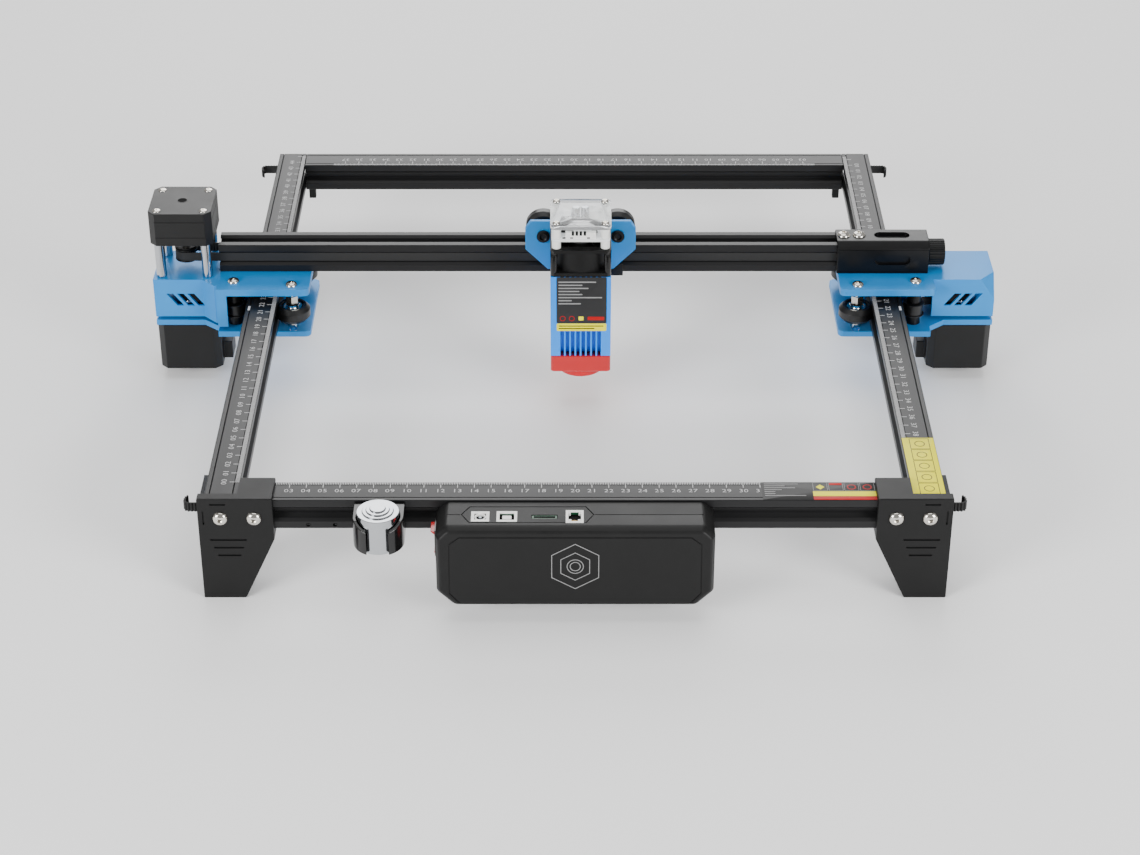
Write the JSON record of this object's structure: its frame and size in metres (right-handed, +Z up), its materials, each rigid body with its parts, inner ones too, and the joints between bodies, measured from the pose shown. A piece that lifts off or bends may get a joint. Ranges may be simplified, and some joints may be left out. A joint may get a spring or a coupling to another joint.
{
  "type": "desktop laser cutter",
  "caption": "Open-frame desktop laser cutter: ruled profile frame on moulded legs, belt-driven gantry and carriage, finned laser head, control box and focus gauge.",
  "frame": {"origin": "on the standing surface, under the centre of the bounding box", "axes": "+X to the right along the gantry beam, +Y to the rear, +Z up"},
  "size_m": [0.5684, 0.508, 0.1394],
  "materials": {
    "black_anodised": "satin black anodised aluminium profile",
    "black_moulding": "matte black moulded plastic",
    "blue_plate": "satin blue anodised plate",
    "blue_fins": "satin azure anodised heatsink",
    "motor_black": "matte black painted steel",
    "bright_steel": "bright nickel-plated steel",
    "turned_aluminium": "bare turned aluminium",
    "belt_rubber": "matte black toothed belt",
    "wheel_plastic": "black acetal",
    "red_plastic": "red plastic",
    "board_green": "green circuit board",
    "clear_plastic": "clear acrylic",
    "brass": "turned brass",
    "lens_glass": "coated lens glass",
    "white_print": "white screen print and labels",
    "yellow_label": "yellow label film"
  },
  "bodies": {
    "frame": {"front_rail": "black_anodised", "rear_rail": "black_anodised", "left_rail": "black_anodised", "right_rail": "black_anodised", "front_left_corner": "black_moulding", "front_right_corner": "black_moulding", "rear_left_corner": "black_moulding", "rear_right_corner": "black_moulding", "left_y_belt": "belt_rubber", "right_y_belt": "belt_rubber", "control_box_shell": "black_moulding", "control_box_cover": "black_moulding", "main_board": "board_green", "gauge_holder": "black_moulding"},
    "power_switch": {"power_switch": "red_plastic"},
    "focus_gauge": {"focus_gauge": "bright_steel"},
    "gantry": {"x_beam": "black_anodised", "left_top_plate": "blue_plate", "right_top_plate": "blue_plate", "left_lower_plate": "blue_plate", "right_lower_plate": "blue_plate", "x_motor": "motor_black", "left_y_motor": "motor_black", "right_y_motor": "motor_black", "motor_standoff_1": "bright_steel", "motor_standoff_2": "bright_steel", "motor_standoff_3": "bright_steel", "motor_standoff_4": "bright_steel", "left_belt_loop": "belt_rubber", "right_belt_loop": "belt_rubber", "x_belt": "belt_rubber", "tensioner_block": "black_anodised"},
    "tension_knob": {"tension_knob": "black_anodised"},
    "idler_fork": {"idler_fork": "turned_aluminium"},
    "x_belt_idler": {"x_belt_idler": "turned_aluminium"},
    "x_pulley": {"x_pulley": "turned_aluminium"},
    "left_y_pulley": {"left_y_pulley": "turned_aluminium"},
    "right_y_pulley": {"right_y_pulley": "turned_aluminium"},
    "carriage": {"carriage_plate": "blue_plate"},
    "laser": {"laser_mount": "blue_plate", "heatsink": "blue_fins", "fan_frame": "black_moulding", "driver_board": "board_green", "clear_cover": "clear_plastic", "red_shield": "red_plastic", "red_sleeve": "red_plastic", "laser_barrel": "brass", "focus_lens": "lens_glass"},
    "fan_rotor": {"fan_rotor": "black_moulding"},
    "left_front_wheel": {"left_front_wheel": "wheel_plastic"},
    "left_front_idler": {"left_front_idler": "wheel_plastic"},
    "left_rear_wheel": {"left_rear_wheel": "wheel_plastic"},
    "left_rear_idler": {"left_rear_idler": "wheel_plastic"},
    "right_front_wheel": {"right_front_wheel": "wheel_plastic"},
    "right_front_idler": {"right_front_idler": "wheel_plastic"},
    "right_rear_wheel": {"right_rear_wheel": "wheel_plastic"},
    "right_rear_idler": {"right_rear_idler": "wheel_plastic"},
    "upper_left_carriage_wheel": {"upper_left_carriage_wheel": "wheel_plastic"},
    "upper_right_carriage_wheel": {"upper_right_carriage_wheel": "wheel_plastic"},
    "lower_carriage_wheel": {"lower_carriage_wheel": "wheel_plastic"}
  },
  "joints": [
    {"name": "power_switch_rock", "type": "hinge", "parent": "frame", "child": "power_switch", "pos_m": [-0.0818, -0.2388, 0.0515], "axis": [0, 1, 0], "range_deg": [-7, 7]},
    {"name": "focus_gauge_lift", "type": "slide", "parent": "frame", "child": "focus_gauge", "axis": [0, 0, 1], "range_m": [0, 0.035]},
    {"name": "gantry_travel", "type": "slide", "parent": "frame", "child": "gantry", "axis": [0, 1, 0], "range_m": [-0.185, 0.12]},
    {"name": "carriage_travel", "type": "slide", "parent": "gantry", "child": "carriage", "axis": [1, 0, 0], "range_m": [-0.16, 0.134]},
    {"name": "laser_height", "type": "slide", "parent": "carriage", "child": "laser", "axis": [0, 0, 1], "range_m": [-0.02, 0.01]},
    {"name": "fan_spin", "type": "hinge", "parent": "laser", "child": "fan_rotor", "pos_m": [0.004, 0.0138, 0.11], "axis": [0, 0, 1], "continuous": true},
    {"name": "tension_knob_turn", "type": "hinge", "parent": "gantry", "child": "tension_knob", "pos_m": [0.2395, 0.0535, 0.0883], "axis": [1, 0, 0], "range_deg": [0, 720]},
    {"name": "idler_fork_slide", "type": "slide", "parent": "gantry", "child": "idler_fork", "axis": [1, 0, 0], "range_m": [-0.00165, 0]},
    {"name": "left_front_wheel_spin", "type": "hinge", "parent": "gantry", "child": "left_front_wheel", "pos_m": [-0.19015, 0.025, 0.058], "axis": [0, 0, 1], "continuous": true},
    {"name": "left_front_idler_spin", "type": "hinge", "parent": "gantry", "child": "left_front_idler", "pos_m": [-0.2295, 0.03, 0.058], "axis": [0, 0, 1], "continuous": true},
    {"name": "left_rear_wheel_spin", "type": "hinge", "parent": "gantry", "child": "left_rear_wheel", "pos_m": [-0.19015, 0.082, 0.058], "axis": [0, 0, 1], "continuous": true},
    {"name": "left_rear_idler_spin", "type": "hinge", "parent": "gantry", "child": "left_rear_idler", "pos_m": [-0.2295, 0.077, 0.058], "axis": [0, 0, 1], "continuous": true},
    {"name": "left_y_pulley_spin", "type": "hinge", "parent": "gantry", "child": "left_y_pulley", "pos_m": [-0.263, 0.0535, 0.058], "axis": [0, 0, 1], "continuous": true},
    {"name": "right_front_wheel_spin", "type": "hinge", "parent": "gantry", "child": "right_front_wheel", "pos_m": [0.19015, 0.025, 0.058], "axis": [0, 0, 1], "continuous": true},
    {"name": "right_front_idler_spin", "type": "hinge", "parent": "gantry", "child": "right_front_idler", "pos_m": [0.2295, 0.03, 0.058], "axis": [0, 0, 1], "continuous": true},
    {"name": "right_rear_wheel_spin", "type": "hinge", "parent": "gantry", "child": "right_rear_wheel", "pos_m": [0.19015, 0.082, 0.058], "axis": [0, 0, 1], "continuous": true},
    {"name": "right_rear_idler_spin", "type": "hinge", "parent": "gantry", "child": "right_rear_idler", "pos_m": [0.2295, 0.077, 0.058], "axis": [0, 0, 1], "continuous": true},
    {"name": "right_y_pulley_spin", "type": "hinge", "parent": "gantry", "child": "right_y_pulley", "pos_m": [0.263, 0.0535, 0.058], "axis": [0, 0, 1], "continuous": true},
    {"name": "x_pulley_spin", "type": "hinge", "parent": "gantry", "child": "x_pulley", "pos_m": [-0.263, 0.0535, 0.0883], "axis": [0, 0, 1], "continuous": true},
    {"name": "x_belt_idler_spin", "type": "hinge", "parent": "idler_fork", "child": "x_belt_idler", "pos_m": [0.2145, 0.0535, 0.0883], "axis": [0, 0, 1], "continuous": true},
    {"name": "upper_left_carriage_wheel_spin", "type": "hinge", "parent": "carriage", "child": "upper_left_carriage_wheel", "pos_m": [-0.021, 0.0535, 0.10815], "axis": [0, 1, 0], "continuous": true},
    {"name": "upper_right_carriage_wheel_spin", "type": "hinge", "parent": "carriage", "child": "upper_right_carriage_wheel", "pos_m": [0.029, 0.0535, 0.10815], "axis": [0, 1, 0], "continuous": true},
    {"name": "lower_carriage_wheel_spin", "type": "hinge", "parent": "carriage", "child": "lower_carriage_wheel", "pos_m": [0.004, 0.0535, 0.06845], "axis": [0, 1, 0], "continuous": true}
  ],
  "couplings": [
    {"joint": "idler_fork_slide", "follows": "tension_knob_turn", "m_per_rad": -0.00012732},
    {"joint": "left_front_wheel_spin", "follows": "gantry_travel", "rad_per_m": 92.593},
    {"joint": "left_front_idler_spin", "follows": "gantry_travel", "rad_per_m": -158.73},
    {"joint": "left_rear_wheel_spin", "follows": "gantry_travel", "rad_per_m": 92.593},
    {"joint": "left_rear_idler_spin", "follows": "gantry_travel", "rad_per_m": -158.73},
    {"joint": "left_y_pulley_spin", "follows": "gantry_travel", "rad_per_m": 157.08},
    {"joint": "right_front_wheel_spin", "follows": "gantry_travel", "rad_per_m": -92.593},
    {"joint": "right_front_idler_spin", "follows": "gantry_travel", "rad_per_m": 158.73},
    {"joint": "right_rear_wheel_spin", "follows": "gantry_travel", "rad_per_m": -92.593},
    {"joint": "right_rear_idler_spin", "follows": "gantry_travel", "rad_per_m": 158.73},
    {"joint": "right_y_pulley_spin", "follows": "gantry_travel", "rad_per_m": -157.08},
    {"joint": "x_pulley_spin", "follows": "carriage_travel", "rad_per_m": 157.08},
    {"joint": "x_belt_idler_spin", "follows": "carriage_travel", "rad_per_m": 157.08},
    {"joint": "upper_left_carriage_wheel_spin", "follows": "carriage_travel", "rad_per_m": 92.593},
    {"joint": "upper_right_carriage_wheel_spin", "follows": "carriage_travel", "rad_per_m": 92.593},
    {"joint": "lower_carriage_wheel_spin", "follows": "carriage_travel", "rad_per_m": -92.593}
  ]
}
